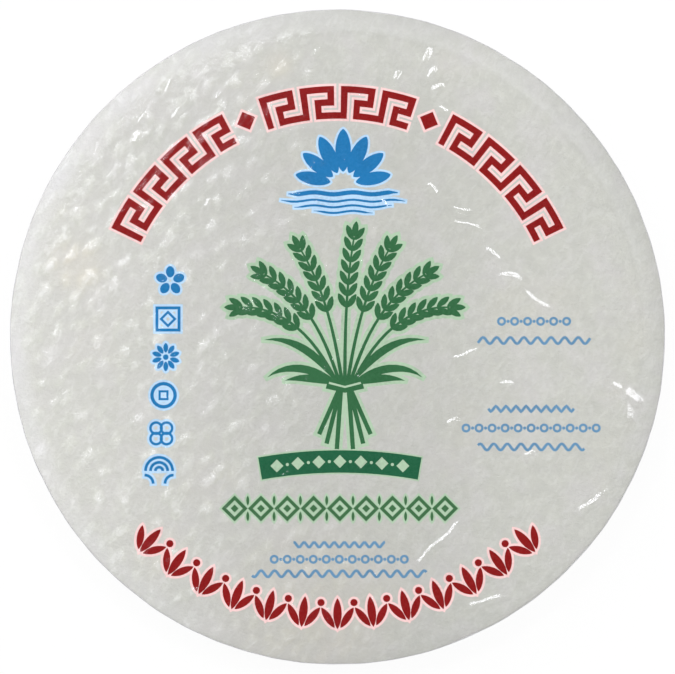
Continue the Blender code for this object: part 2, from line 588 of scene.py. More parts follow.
def paintedEdgeShine(x, y, reach):
    # a painted reflection: the pale lilac shine round the left of the sheet's edge
    leftward = 0.5 + 0.5 * np.cos(np.arctan2(y, x) - 2.7)
    uneven = 0.6 + 0.4 * np.sin(x / 0.0083) * np.sin(y / 0.0068)
    return 0.34 * fadeIn(reach, 103 * mm, 109 * mm) * uneven * leftward**1.5


def reliefSheet(level, underside):
    # an outermost wrapper, with the mat's mark on the face that shows
    radius = wrapper["radius"]
    faceEdge = radius - 0.06 * mm
    addFilledDisc(faceEdge, 0, wrapper["rimPoints"])
    growRings([(radius, -0.1 * mm), (faceEdge, -wrapper["thickness"])], faceEdge, 0)
    bpy.ops.mesh.edge_face_add()
    leaveEdit()
    piece = rename("backSheet" if underside else "topSheet")
    places = readPlaces(piece)
    x, y, z = places.T
    reach = np.hypot(x, y)
    mark = matMark(x, y)
    strength = 0.1 + 0.9 * clingStrength(x, y)
    relief = wrapper["matRelief"] * (mark - 0.3) * strength
    places[:, 2] += np.where(z > -0.05 * mm, relief * fadeIn(reach, radius, radius - 4 * mm), 0)
    if underside:
        places[:, 2] = wrapper["lowest"] - places[:, 2]
    else:
        places[:, 2] += wrapperTop + faceSwell(x, y)
    places[:, :2] *= drawnIn(*places.T)[:, None]
    places[:, 2] += rimDroop(reach, level)
    writePlaces(piece, places)
    faceOutwards(piece)
    # touch and cling mask the painted highlights on the bumps' crests and the painted shade in their
    # valleys
    addMark(piece, "touch", mark * strength)
    addMark(piece, "cling", strength)
    # painted shade by place
    addMark(piece, "shade", paintedShade(x, y))
    addMark(piece, "warm", warmth(x, y))
    # a painted reflection round the left of the edge
    addMark(piece, "edge", paintedEdgeShine(x, y, reach))
    shadeSmooth(piece)
    return piece


def plainSheet():
    # a flat wrapper, cut into rings only where its edge waves
    deselectAll()
    radius, start, thick = wrapper["radius"], wrapper["waveFrom"], wrapper["thickness"]
    bpy.ops.mesh.primitive_circle_add(vertices=240, radius=start, fill_type="NGON")
    enterEdit("EDGE")
    rings = [(reach, 0) for reach in (96 * mm, 103 * mm, 107 * mm, radius - 0.1 * mm)]
    rings += [(radius, thick / 2)] + [(reach, thick) for reach, level in reversed(rings)]
    growRings(rings + [(start, thick)], start, 0)
    bpy.ops.mesh.edge_face_add()
    leaveEdit()
    sheet = rename("plainSheet")
    faceOutwards(sheet)
    return sheet


def makeInnerSheets():
    # a copy of the plain wrapper for each level, with its own wave, size and shift
    first = plainSheet()
    flat = readPlaces(first)
    angle = np.arctan2(flat[:, 1], flat[:, 0])
    reach = np.hypot(flat[:, 0], flat[:, 1])
    edge = fadeIn(reach, wrapper["waveFrom"], wrapper["radius"])
    broad, fine = wrapper["wave"]
    rng = np.random.default_rng(7)
    sheets = []
    for level in range(1, wrapper["count"] - 1):
        sheet = copyOf(first)
        places = flat.copy()
        phase = rng.uniform(0, fullTurn, 3)
        uneven = rng.uniform(0, 1) + 0.5
        uneven += 0.3 * np.sin(5 * angle + phase[0]) + 0.2 * np.sin(9 * angle + phase[1])
        drift = level / wrapper["count"] * 5.0
        wave = broad * np.sin(11 * angle + drift) + fine * np.sin(23 * angle + phase[2])
        places[:, 2] += wave * edge
        places[:, 2] += wrapper["lowest"] + level * wrapperPitch + rimDroop(reach, level)
        scatter = edge * uneven / 2 * wrapper["edgeScatter"] / wrapper["radius"]
        places[:, :2] *= (drawnIn(*places.T) - scatter)[:, None]
        writePlaces(sheet, places)
        sheets.append(sheet)
    bpy.data.objects.remove(first)
    piece = joinAll(sheets, "innerSheets")
    shadeSmooth(piece, 40)
    return piece


# the lap seam down the back: the film's two edges, crimped together and folded flat

seam = {
    "width": 12 * mm,
    "halfLength": 88 * mm,
    "proud": 0.06 * mm,
    "crimpPitch": 2.2 * mm,
    "crimpDepth": 0.022 * mm,
    "thickness": 0.03 * mm,
}


def backHeight(radius):
    # the film's underside, without its fine puckers
    radii, shares = zip((film["restInner"] / mm, 0), *film["hollow"])
    inside = np.interp(radius / mm, radii[::-1], shares[::-1])
    return film["clear"] + film["hollowDepth"] * inside


def makeLapSeam():
    deselectAll()
    bpy.ops.mesh.primitive_grid_add(x_subdivisions=24, y_subdivisions=320, size=1)
    piece = rename("lapSeam")
    places = readPlaces(piece)
    x = places[:, 0] * seam["width"]
    y = places[:, 1] * 2 * seam["halfLength"]
    wander = 0.5 * mm * np.sin(y / 0.031)
    crimped = fadeIn(np.abs(x), seam["width"] / 2, seam["width"] / 2 - 1.2 * mm)
    crimp = seam["crimpDepth"] * np.sin(y / seam["crimpPitch"] * fullTurn) * crimped
    lip = 0.03 * mm * fadeIn(x, seam["width"] / 2 - 1.4 * mm, seam["width"] / 2)
    height = backHeight(np.hypot(x, y)) - seam["proud"] + crimp + lip
    writePlaces(piece, np.column_stack((x + wander, y, height)))
    wall = piece.modifiers.new("film thickness", "SOLIDIFY")
    wall.thickness = seam["thickness"]
    wall.offset = 0
    applyModifiers(piece)
    faceOutwards(piece)
    shadeSmooth(piece)
    return piece


# the print: flat shapes first, then dropped under the film

ink = {
    "cell": 2.0 * mm,  # how finely a print is cut to follow the film
    "topDepth": 0.035 * mm,
    "depth": 0.06 * mm,
    "haloDepth": 0.10 * mm,
    "thickness": 0.02 * mm,
}


def addLeaf(length, width, points=20, point=0.6):
    # a grain, leaf or petal: pointed at both ends, lying along +Y, its foot at the origin
    deselectAll()
    bpy.ops.mesh.primitive_circle_add(vertices=points, radius=1, fill_type="NGON")
    leaf = bpy.context.object
    places = readPlaces(leaf)
    side = places[:, 0] * np.abs(places[:, 0]) ** point
    places = np.column_stack((side * width / 2, (places[:, 1] + 1) * length / 2, np.zeros(len(places))))
    writePlaces(leaf, places)
    return leaf


def addDisc(radius, points=28):
    deselectAll()
    bpy.ops.mesh.primitive_circle_add(vertices=points, radius=radius, fill_type="NGON")
    return bpy.context.object


def addRing(radius, stroke, points=28):
    ring = addDisc(radius, points)
    editAll(ring, "FACE")
    # a corner's inset is measured square to its sides
    bpy.ops.mesh.inset(thickness=stroke)
    bpy.ops.mesh.delete(type="FACE")
    leaveEdit()
    return ring


def addRibbon(path, widths):
    # a flat stroke along a path of points, its width given at each
    path = np.array(path, float)
    widths = np.broadcast_to(widths, len(path))
    deselectAll()
    steps = len(path) - 1
    bpy.ops.mesh.primitive_grid_add(x_subdivisions=steps, y_subdivisions=1, size=1)
    ribbon = bpy.context.object
    places = readPlaces(ribbon)
    index = np.round((places[:, 0] + 0.5) * steps).astype(int)
    heading = np.gradient(path, axis=0)
    heading /= np.linalg.norm(heading, axis=1)[:, None]
    square = np.column_stack((-heading[:, 1], heading[:, 0]))
    offset = np.sign(places[:, 1])[:, None] * square[index] * widths[index, None] / 2
    writePlaces(ribbon, np.column_stack((path[index] + offset, np.zeros(len(index)))))
    return ribbon


def addCells(rows, cell):
    # a pattern of square cells, top row first; "#" is inked
    deselectAll()
    across, down = len(rows[0]), len(rows)
    bpy.ops.mesh.primitive_grid_add(x_subdivisions=across, y_subdivisions=down, size=1)
    piece = bpy.context.object
    piece.scale = (across * cell, down * cell, 1)
    settle(piece)
    enterEdit("FACE", "DESELECT")
    leaveEdit()
    for face in piece.data.polygons:
        column = int((face.center.x / cell) + across / 2)
        row = int(down / 2 - (face.center.y / cell))
        face.select = rows[row][column] != "#"
    bpy.ops.object.mode_set(mode="EDIT")
    bpy.ops.mesh.delete(type="FACE")
    leaveEdit()
    return piece


def moved(piece, x, y, turn=0.0, size=1.0):
    # turned counterclockwise by turn degrees
    piece.location = (x, y, 0)
    piece.rotation_euler = (0, 0, math.radians(turn))
    piece.scale = (size, size, 1)
    settle(piece)
    return piece


def stamp(motif, x, y, turn=0.0, size=1.0):
    return moved(copyOf(motif), x, y, turn, size)


def rowOf(motif, count, pitch, x, y, turn=0.0, size=1.0):
    return [stamp(motif, x + across, y, turn, size) for across in centred(count, pitch)]


def onArc(radius, bearing):
    # bearings run clockwise from +Y
    angle = math.radians(bearing)
    return radius * math.sin(angle), radius * math.cos(angle)


def discard(*pieces):
    for piece in pieces:
        bpy.data.objects.remove(piece)


def outwardSteps(mesh, width):
    # for each vertex on an outline, the step that moves it square away from its two edges
    uses = {}
    for face in mesh.polygons:
        for key in face.edge_keys:
            uses[key] = uses.get(key, 0) + 1
    normals = {}
    for face in mesh.polygons:
        corners = list(face.vertices)
        if face.normal.z < 0:
            corners.reverse()
        for first, second in zip(corners, corners[1:] + corners[:1]):
            if uses[(min(first, second), max(first, second))] == 1:
                run = (mesh.vertices[second].co - mesh.vertices[first].co).normalized()
                for corner in (first, second):
                    normals.setdefault(corner, []).append(np.array((run.y, -run.x, 0)))
    steps = {}
    for corner, found in normals.items():
        total = sum(found)
        mitre = max(0.55, 1 + float(np.dot(found[0], found[-1])))
        steps[corner] = total * width / mitre * (2 / len(found))
    return steps


def spotKey(place):
    return tuple(round(value * 1e7) for value in place)


def haloOf(shapes, width):
    # the paler underprint, a little wider than the ink over it
    halo = copyOf(shapes)
    spots = {}
    for corner, step in outwardSteps(halo.data, width).items():
        spots[spotKey(halo.data.vertices[corner].co)] = step
    editAll(halo, "EDGE")
    selectOpenEdges()
    bpy.ops.mesh.extrude_edges_move(TRANSFORM_OT_translate={"value": (0, 0, 0)})
    leaveEdit()
    for corner in halo.data.vertices:
        step = spots.get(spotKey(corner.co))
        if corner.select and step is not None:
            corner.co.x += step[0]
            corner.co.y += step[1]
    return halo


def cutToCells(piece, low, high):
    # cut along a square grid, so that the sheet of ink can follow the film over it
    editAll(piece, "FACE")
    bpy.ops.mesh.quads_convert_to_tris()
    cell = ink["cell"]
    for axis, normal in enumerate(((1, 0, 0), (0, 1, 0))):
        for step in range(math.ceil(low[axis] / cell), math.floor(high[axis] / cell) + 1):
            point = tuple(value * step * cell for value in normal)
            bpy.ops.mesh.select_all(action="SELECT")
            bpy.ops.mesh.bisect(plane_co=point, plane_no=normal)
    leaveEdit()


def layInk(piece, depth):
    places = readPlaces(piece)
    cutToCells(piece, places.min(0), places.max(0))
    places = readPlaces(piece)
    places[:, 2] = faceHeight(places[:, 0], places[:, 1]) - depth
    writePlaces(piece, places)
    faceUp(piece)
    wall = piece.modifiers.new("sheet of ink", "SOLIDIFY")
    wall.thickness = ink["thickness"]
    wall.offset = -1
    applyModifiers(piece)


def faceUp(piece):
    pick(piece)
    down = [face.normal.z < 0 for face in piece.data.polygons]
    if any(down):
        for face, turned in zip(piece.data.polygons, down):
            face.select = turned
        bpy.ops.object.mode_set(mode="EDIT")
        bpy.ops.mesh.flip_normals()
        leaveEdit()


def finishPrint(name, inked, inkMaterial, haloMaterial=None, haloWidth=0, pale=None):
    # halo, inked and pale shapes lie one over another, each at its own depth under the film
    body = joinAll(inked, name)
    layers = [(body, ink["depth"], inkMaterial)]
    if haloMaterial:
        layers.append((haloOf(body, haloWidth), ink["haloDepth"], haloMaterial))
    if pale:
        layers.append((joinAll(pale, name + "Pale"), ink["topDepth"], haloMaterial))
    for layer, depth, material in layers:
        layInk(layer, depth)
        layer.data.materials.append(material)
    piece = joinAll([layer for layer, depth, material in layers], name)
    # shapes overlap at one depth, where they would darken each other
    piece.visible_shadow = False
    piece.visible_diffuse = False
    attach(piece, "root")
    print(name, len(piece.data.polygons))


# the red fret round the top of the face

fret = {
    "unit": ("#####.", "#...#.", "#.###.", "#.#...", "#.####"),
    "units": 4,
    "stretches": 3,
    "cell": 2.22 * mm,
    "radius": 79.4 * mm,
    "gap": 9.0,  # degrees between stretches, where a pair of diamonds stands
    "diamond": 3.3 * mm,
    "halo": 0.78 * mm,
}


def wrapOnArc(piece, radius, bearing):
    # what lies along +X is bent round the pack's middle
    places = readPlaces(piece)
    angle = places[:, 0] / radius + math.radians(bearing)
    reach = radius + places[:, 1]
    writePlaces(piece, np.column_stack((reach * np.sin(angle), reach * np.cos(angle), places[:, 2])))


def makeFretBand():
    rows = [(row * fret["units"])[:-1] for row in fret["unit"]]
    radius = fret["radius"]
    pitch = math.degrees(len(rows[0]) * fret["cell"] / radius) + fret["gap"]
    parts = []
    for bearing in centred(fret["stretches"], pitch):
        stretch = addCells(rows, fret["cell"])
        wrapOnArc(stretch, radius, bearing)
        parts.append(stretch)
    diamond = addDisc(fret["diamond"], points=4)
    for bearing in centred(fret["stretches"] - 1, pitch):
        parts.append(stamp(diamond, *onArc(radius, bearing), -bearing))
    discard(diamond)
    finishPrint("redFretBand", parts, inks["red"], inks["pink"], fret["halo"])


# the red row of seedlings round the bottom

seedling = {
    "radius": 88.4 * mm,
    "count": 13,
    "pitch": 7.1,
    "blade": (10.4 * mm, 2.9 * mm),
    "sideBlade": (8.2 * mm, 2.5 * mm),
    "sideTurn": 33,
    "sideShift": (1.0 * mm, 0.4 * mm),
    "dot": 1.25 * mm,
    "dotShift": 1.6 * mm,
    "halo": 0.8 * mm,
}


def makeSeedlingRow():
    blades = [addLeaf(*seedling["blade"])]
    shiftX, shiftY = seedling["sideShift"]
    for side in (-1, 1):
        blade = addLeaf(*seedling["sideBlade"])
        blades.append(moved(blade, -side * shiftX, shiftY, side * seedling["sideTurn"]))
    plant = joinAll(blades, "seedling")
    dot = addDisc(seedling["dot"], points=12)
    count, pitch, radius = seedling["count"], seedling["pitch"], seedling["radius"]
    parts = []
    for bearing in centred(count, pitch):
        x, y = onArc(radius + seedling["blade"][0], bearing)
        parts.append(stamp(plant, x, -y, bearing))
    for bearing in centred(count - 1, pitch):
        x, y = onArc(radius + seedling["dotShift"], bearing)
        parts.append(stamp(dot, x, -y))
    discard(plant, dot)
    finishPrint("redSeedlingRow", parts, inks["red"], inks["pink"], seedling["halo"])


# the blue lotus above the middle

lotus = {
    "place": (1.9 * mm, 51.5 * mm),
    "petals": 7,
    "spread": 26,
    "petal": (14.5 * mm, 5.3 * mm),
    "shrink": 0.0022,  # of a petal, for each degree that it turns
    "start": 4.4 * mm,
    "halo": 0.7 * mm,
    # length, drop and stroke, in millimetres
    "waterLines": ((37, -2.9, 1.5), (42, -5.4, 0.75), (33, -7.3, 0.75), (20, -9.2, 0.75)),
}


def makeLotus():
    x, y = lotus["place"]
    parts = []
    petal = addLeaf(*lotus["petal"], points=24, point=0.35)
    for turn in centred(lotus["petals"], lotus["spread"]):
        offX, offY = onArc(lotus["start"], turn)
        parts.append(stamp(petal, x - offX, y + offY, turn, 1 - lotus["shrink"] * abs(turn)))
    discard(petal)
    for length, drop, stroke in lotus["waterLines"]:
        along = np.linspace(-length / 2, length / 2, 25)
        ripple = drop + 0.35 * np.sin(along / 2.1)
        taper = np.clip((length / 2 - np.abs(along)) / 3, 0.25, 1) * stroke
        parts.append(addRibbon(np.column_stack((x + along * mm, y + ripple * mm)), taper * mm))
    finishPrint("blueLotus", parts, inks["blue"], inks["paleBlue"], lotus["halo"])


# the green sheaf of rice in the middle

sheaf = {
    "tie": (2.5 * mm, -16.0 * mm),
    "stalks": 7,
    "stalkGap": 0.8 * mm,
    "stalkLength": 50.0 * mm,
    "stalkWidth": (1.3 * mm, 0.6 * mm),  # at the tie and at the tip
    "shorter": 0.035,  # of a stalk, for each place from the middle
    "fan": 9.0,  # degrees between stalks where they leave the tie
    "droop": 21.0,  # more degrees for each place from the middle
    "middleDroop": 9,
    "grain": (5.4 * mm, 2.2 * mm),
    "grainPairs": 7,
    "earSpan": (0.52, 0.98),  # of a stalk's length
    "grainShift": 0.35 * mm,
    "grainTurn": 30,
    "blade": (31.0 * mm, 2.7 * mm),
    "bladeShift": 2 * mm,
    "blades": ((36, 58, 1.0), (58, 66, 0.84), (74, 30, 0.6)),  # heading, bend, size
    "foot": (22.0 * mm, 1.5 * mm),
    "footShift": 1.2 * mm,
    "feet": ((176, 1.0), (166, 0.94), (156, 0.84)),  # heading, size
    # half width, rise, dip and stroke, in millimetres
    "bow": (6, 0.6, 0.8, 4.2),
    "bowLine": (5.4, 0.5, 0.9, 0.7),
    "halo": 1.1 * mm,
}


def curvedPath(start, heading, bend, length, points=14):
    # heading and bend in degrees from +Y; the bend grows towards the tip
    share = np.linspace(0, 1, points)
    angle = np.radians(heading + bend * share**1.8)
    step = length / (points - 1)
    x = start[0] + np.concatenate(([0], np.cumsum(np.sin(angle[1:]) * step)))
    y = start[1] + np.concatenate(([0], np.cumsum(np.cos(angle[1:]) * step)))
    return np.column_stack((x, y))


def pointAlong(path, share):
    # a place on a path, and its heading in degrees
    at = share * (len(path) - 1)
    base = int(at)
    following = min(base + 1, len(path) - 1)
    spot = path[base] + (path[following] - path[base]) * (at - base)
    line = path[following] - path[following - 1]
    return spot, math.degrees(math.atan2(-line[0], line[1]))


def growEar(grain, path):
    grains = []
    for share in np.linspace(*sheaf["earSpan"], sheaf["grainPairs"]):
        spot, heading = pointAlong(path, share)
        for side in (-1, 1):
            offY, offX = onArc(side * sheaf["grainShift"], heading)
            turn = heading + side * sheaf["grainTurn"]
            grains.append(stamp(grain, spot[0] - offX, spot[1] - offY, turn))
    return grains + [stamp(grain, *path[-1], heading)]


def growBlades(x, y, side):
    length, width = sheaf["blade"]
    start = (x + side * sheaf["bladeShift"], y)
    blades = []
    for heading, bend, size in sheaf["blades"]:
        path = curvedPath(start, side * heading, side * bend, length * size, 12)
        share = np.linspace(0, 1, len(path))
        taper = np.clip(np.sin(np.pi * (0.05 + 0.95 * share)), 0.22 * (1 - share), 1)
        blades.append(addRibbon(path, taper * width + 0.05 * mm))
    return blades


def growFeet(x, y, side):
    length, width = sheaf["foot"]
    start = (x + side * sheaf["footShift"], y)
    feet = []
    for heading, size in sheaf["feet"]:
        feet.append(addRibbon(curvedPath(start, side * heading, 0, length * size, 6), width))
    return feet


def addBow(x, y, half, rise, dip, stroke):
    bow = np.array([(-half, rise), (0, -dip), (half, rise)])
    return addRibbon(bow * mm + (x, y), stroke * mm)


def makeSheaf():
    x, y = sheaf["tie"]
    parts = []
    grain = addLeaf(*sheaf["grain"], points=12)
    for place in centred(sheaf["stalks"], 1):
        bend = place * sheaf["droop"] if place else sheaf["middleDroop"]
        length = sheaf["stalkLength"] * (1 - sheaf["shorter"] * abs(place))
        start = (x + place * sheaf["stalkGap"], y)
        path = curvedPath(start, place * sheaf["fan"], bend, length)
        parts.append(addRibbon(path, np.linspace(*sheaf["stalkWidth"], len(path))))
        parts += growEar(grain, path)
    discard(grain)
    for side in (-1, 1):
        parts += growBlades(x, y, side) + growFeet(x, y, side)
    parts.append(addBow(x, y, *sheaf["bow"]))
    pale = [addBow(x, y, *sheaf["bowLine"])]
    halo = sheaf["halo"]
    finishPrint("greenRiceSheaf", parts, inks["green"], inks["paleGreen"], halo, pale)


# the green band under the sheaf and the row of lozenges under that

band = {
    "place": (0.8 * mm, -44.5 * mm),
    "width": 54 * mm,
    "depth": 7.6 * mm,
    "arch": 2.4 * mm,
    "lozenges": 7,
    "lozenge": 2.2 * mm,
    "dot": 0.55 * mm,
    "halo": 0.5 * mm,
}


def archHeight(x):
    return band["arch"] * (1 - (x / (band["width"] / 2)) ** 2)


def makeGreenBand():
    x, y = band["place"]
    along = np.linspace(-band["width"] / 2, band["width"] / 2, 25)
    body = addRibbon(np.column_stack((x + along, y + archHeight(along))), band["depth"])
    diamond = addDisc(band["lozenge"], points=4)
    dot = addDisc(band["dot"], points=8)
    count = band["lozenges"]
    pitch = band["width"] / (count + 0.6)
    pale = []
    for motif, places in ((diamond, centred(count, pitch)), (dot, centred(count - 1, pitch))):
        for across in places:
            pale.append(stamp(motif, x + across, y + archHeight(across)))
    discard(diamond, dot)
    halo = band["halo"]
    finishPrint("greenBand", [body], inks["deepGreen"], inks["paleGreen"], halo, pale)


lozengeRow = {
    "place": (0.8 * mm, -58.0 * mm),
    "count": 9,
    "pitch": 8.9 * mm,
    "size": 4.4 * mm,
    "stroke": 1.15 * mm,
    "heart": 1.35 * mm,
    "bar": (5.4 * mm, 1.7 * mm),
    "barSize": 0.62,
    "barShift": 1.0 * mm,
    "halo": 0.6 * mm,
}


def makeLozengeRow():
    x, y = lozengeRow["place"]
    count, pitch = lozengeRow["count"], lozengeRow["pitch"]
    outline = addRing(lozengeRow["size"], lozengeRow["stroke"], points=4)
    heart = addDisc(lozengeRow["heart"], points=4)
    bar = addLeaf(*lozengeRow["bar"], points=12)
    parts = rowOf(outline, count, pitch, x, y) + rowOf(heart, count, pitch, x, y)
    for side in (-1, 1):
        start = y + side * lozengeRow["barShift"]
        parts += rowOf(bar, count - 1, pitch, x, start, 90 - 90 * side, lozengeRow["barSize"])
    discard(outline, heart, bar)
    halo = lozengeRow["halo"]
    finishPrint("greenLozengeRow", parts, inks["darkGreen"], inks["paleGreen"], halo)


# the column of six blue ornaments on the left

column = {
    "top": (-56.6 * mm, 19.0 * mm),
    "drift": -0.75 * mm,
    "pitch": -12.9 * mm,
    "halo": 0.75 * mm,
}


def ringOf(motif, count, radius, firstTurn=0.0):
    parts = []
    for number in range(count):
        turn = firstTurn + 360 * number / count
        offX, offY = onArc(radius, turn)
        parts.append(stamp(motif, -offX, offY, turn))
    discard(motif)
    return parts


def blossom():
    petal = addLeaf(length=3.9 * mm, width=3.0 * mm, points=14, point=0.1)
    return ringOf(petal, count=5, radius=1.1 * mm)


def coin():
    rim = addRing(radius=4.5 * mm, stroke=1.15 * mm)
    hole = addRing(radius=2.4 * mm, stroke=0.75 * mm, points=4)
    return [rim, moved(hole, 0, 0, 45)]


def chrysanthemum():
    petal = addLeaf(length=3.3 * mm, width=1.7 * mm, points=12, point=0.3)
    petals = ringOf(petal, count=10, radius=1.5 * mm)
    return petals + [addDisc(radius=0.95 * mm, points=12)]


def latticeSquare():
    outer = addRing(radius=6.0 * mm, stroke=1.0 * mm, points=4)
    inner = addRing(radius=2.9 * mm, stroke=0.8 * mm, points=4)
    return [moved(outer, 0, 0, 45), inner]


def quatrefoil():
    lobe = addRing(radius=2.35 * mm, stroke=0.85 * mm, points=20)
    return ringOf(lobe, count=4, radius=2.5 * mm, firstTurn=45)


def waves():
    # three crests one inside another, over two hollows that meet in the middle
    stroke = 0.95 * mm
    parts = []
    for reach in (4.6, 2.9, 1.25):
        angle = np.linspace(0, np.pi, 17)
        path = np.column_stack((np.cos(angle), np.sin(angle))) * reach * mm
        parts.append(addRibbon(path[::-1] + [0, 0.2 * mm], stroke))
    for side in (-1, 1):
        angle = np.linspace(0, np.pi / 2, 9)
        path = np.column_stack((side * (4.9 - 2.9 * np.sin(angle)), -4.1 + 2.9 * np.cos(angle)))
        parts.append(addRibbon(path * mm, stroke))
    return parts


def makeOrnamentColumn():
    parts = []
    x, y = column["top"]
    for build in (blossom, latticeSquare, chrysanthemum, coin, quatrefoil, waves):
        parts += [moved(part, x, y) for part in build()]
        x += column["drift"]
        y += column["pitch"]
    finishPrint("blueOrnaments", parts, inks["blue"], inks["paleBlue"], column["halo"])


# fine blue border lines in the places of the small print

# kind, x, y and width, in millimetres
fineRows = [
    ("rings", 66.5, 5.3, 27),
    ("waves", 66.5, -1.2, 38),
    ("zigzag", 65.5, -24.3, 29),
    ("rings", 65.5, -30.8, 49),
    ("waves", 65.5, -37.2, 36),
    ("zigzag", 0.6, -70.3, 31),
    ("rings", 0.6, -75.2, 50),
    ("waves", 0.6, -80.1, 59),
]
fineRow = {
    "height": 3.1 * mm,
    "stroke": 0.95 * mm,
    "ringPitch": 4.402 * mm,
    "wavePitch": 4.6 * mm,
    "zigzagPitch": 3.4 * mm,
}


def makeFineRow(kind, x, y, width):
    half, stroke = fineRow["height"] / 2, fineRow["stroke"]
    x, y, width = x * mm, y * mm, width * mm
    if kind == "rings":
        ring = addRing(half, stroke * 0.85, points=14)
        dot = addDisc(stroke * 0.6, points=8)
        pitch = fineRow["ringPitch"]
        count = int(width / pitch)
        parts = rowOf(ring, count, pitch, x, y) + rowOf(dot, count - 1, pitch, x, y)
        discard(ring, dot)
        return parts
    along = np.linspace(-width / 2, width / 2, int(width / mm * 2.4))
    if kind == "waves":
        rise = np.sin(along / fineRow["wavePitch"] * fullTurn)
    else:
        step = along / fineRow["zigzagPitch"]
        rise = 2 * np.abs(2 * (step - np.floor(step + 0.5))) - 1
    return [addRibbon(np.column_stack((x + along, y + rise * (half - stroke / 2))), stroke)]


def makeFineLines():
    parts = []
    for row in fineRows:
        parts += makeFineRow(*row)
    finishPrint("blueFineLines", parts, inks["softBlue"])


# materials

look = {
    "paper": (0.702, 0.708, 0.648, 1),
    # painted highlight on the bumps' crests
    "paintedCrestSheen": (0.86, 0.86, 0.84, 1),
    "paperDull": (0.592, 0.597, 0.552, 1),
    "paperWarm": (0.74, 0.69, 0.58, 1),
    "paperCool": (0.70, 0.677, 0.685, 1),
    # the dark tone of the painted shade by place
    "paintedShadeTone": (0.20, 0.203, 0.19, 1),
    # painted shade in the valleys between the bumps
    "paintedValleyShade": (0.615, 0.607, 0.585, 1),
    # painted glints, with a faint share of grain all over
    "paintedGlintWhite": (0.95, 0.95, 0.94, 1),
    # the painted reflection round the left edge
    "paintedLilacSheen": (0.80, 0.79, 0.86, 1),
    # painted light that comes through the plain wrappers' edges
    "paintedEdgeGlow": (0.94, 0.93, 0.885, 1),
    "filmGloss": (0.82, 0.82, 0.88, 1),
    "filmClear": (0.985, 0.985, 0.985, 1),
    "inkWear": 0.12,
}
inkColours = {
    "red": (0.26, 0.004, 0.004),
    "pink": (0.95, 0.66, 0.65),
    "blue": (0.012, 0.19, 0.46),
    "paleBlue": (0.50, 0.71, 0.92),
    "softBlue": (0.14, 0.30, 0.48),
    "green": (0.032, 0.145, 0.055),
    "paleGreen": (0.44, 0.60, 0.43),
    "deepGreen": (0.012, 0.12, 0.052),
    "darkGreen": (0.05, 0.155, 0.062),
}


def newMaterial(name):
    material = bpy.data.materials.new(name)
    material.use_nodes = True
    material.node_tree.nodes.clear()
    return material, material.node_tree


def plug(tree, value, socket):
    # a socket takes another node's output or a plain value
    if isinstance(value, bpy.types.NodeSocket):
        tree.links.new(value, socket)
    else:
        socket.default_value = value


def addNode(tree, kind, inputs=None, **settings):
    node = tree.nodes.new(kind)
    for name, value in settings.items():
        setattr(node, name, value)
    for name, value in (inputs or {}).items():
        plug(tree, value, node.inputs[name])
    return node


def showSurface(tree, shader):
    addNode(tree, "ShaderNodeOutputMaterial", {"Surface": shader.outputs[0]})


def mixColours(tree, factor, first, second):
    inputs = {"Factor": factor, 6: first, 7: second}
    return addNode(tree, "ShaderNodeMix", inputs, data_type="RGBA").outputs[2]


def mixShaders(tree, factor, first, second):
    inputs = {0: factor, 1: first.outputs[0], 2: second.outputs[0]}
    return addNode(tree, "ShaderNodeMixShader", inputs)


def spreadValue(tree, source, low, high, toLow=0.0, toHigh=1.0):
    inputs = {"Value": source, "From Min": low, "From Max": high, "To Min": toLow, "To Max": toHigh}
    return addNode(tree, "ShaderNodeMapRange", inputs).outputs["Result"]


def timesValue(tree, first, second):
    return addNode(tree, "ShaderNodeMath", {0: first, 1: second}, operation="MULTIPLY").outputs[0]


def readMark(tree, name):
    return addNode(tree, "ShaderNodeAttribute", attribute_name=name).outputs["Fac"]


def addBump(tree, height, strength, distance):
    inputs = {"Height": height, "Strength": strength, "Distance": distance}
    return addNode(tree, "ShaderNodeBump", inputs).outputs["Normal"]


def newGroup(name, inputs, outputs):
    group = bpy.data.node_groups.new(name, "ShaderNodeTree")
    for direction, sockets in (("INPUT", inputs), ("OUTPUT", outputs)):
        for socket in sockets:
            group.interface.new_socket(socket, in_out=direction, socket_type="NodeSocketFloat")
    return group


def makeMottleGroup():
    # soft uneven patches of two sizes, 0 to 1
    group = newGroup("softMottle", ("Patch Size", "Speck Size"), ("Patches", "Specks"))
    sizes = addNode(group, "NodeGroupInput").outputs
    results = addNode(group, "NodeGroupOutput").inputs
    place = addNode(group, "ShaderNodeTexCoord").outputs["Object"]
    for size, result, detail in (("Patch Size", "Patches", 2), ("Speck Size", "Specks", 4)):
        scale = addNode(group, "ShaderNodeMath", {0: 1, 1: sizes[size]}, operation="DIVIDE").outputs[0]
        inputs = {"Vector": place, "Scale": scale, "Detail": detail, "Roughness": 0.55}
        noise = addNode(group, "ShaderNodeTexNoise", inputs).outputs["Fac"]
        plug(group, spreadValue(group, noise, 0.3, 0.7), results[result])
    return group


def makeStrokesGroup():
    # fine scratchy strokes that run the way of the mat's bumps: a smooth grain, and its crests, which
    # mask the paper's painted glints
    group = newGroup("scratchyStrokes", (), ("Grain", "Strokes"))
    results = addNode(group, "NodeGroupOutput").inputs
    place = addNode(group, "ShaderNodeTexCoord").outputs["Object"]
    turn = (0, 0, -math.radians(mat["bumpSlant"]))
    turned = addNode(group, "ShaderNodeMapping", {"Vector": place, "Rotation": turn}).outputs[0]
    drawn = addNode(group, "ShaderNodeMapping", {"Vector": turned, "Scale": (0.52, 1, 1)}).outputs[0]
    inputs = {"Vector": drawn, "Scale": 480, "Detail": 4, "Roughness": 0.6, "Distortion": 0.9}
    noise = addNode(group, "ShaderNodeTexNoise", inputs).outputs["Fac"]
    plug(group, noise, results["Grain"])
    plug(group, spreadValue(group, noise, 0.52, 0.57), results["Strokes"])
    return group


def addMottle(tree, patchSize, speckSize):
    inputs = {"Patch Size": patchSize, "Speck Size": speckSize}
    return addNode(tree, "ShaderNodeGroup", inputs, node_tree=softMottle).outputs


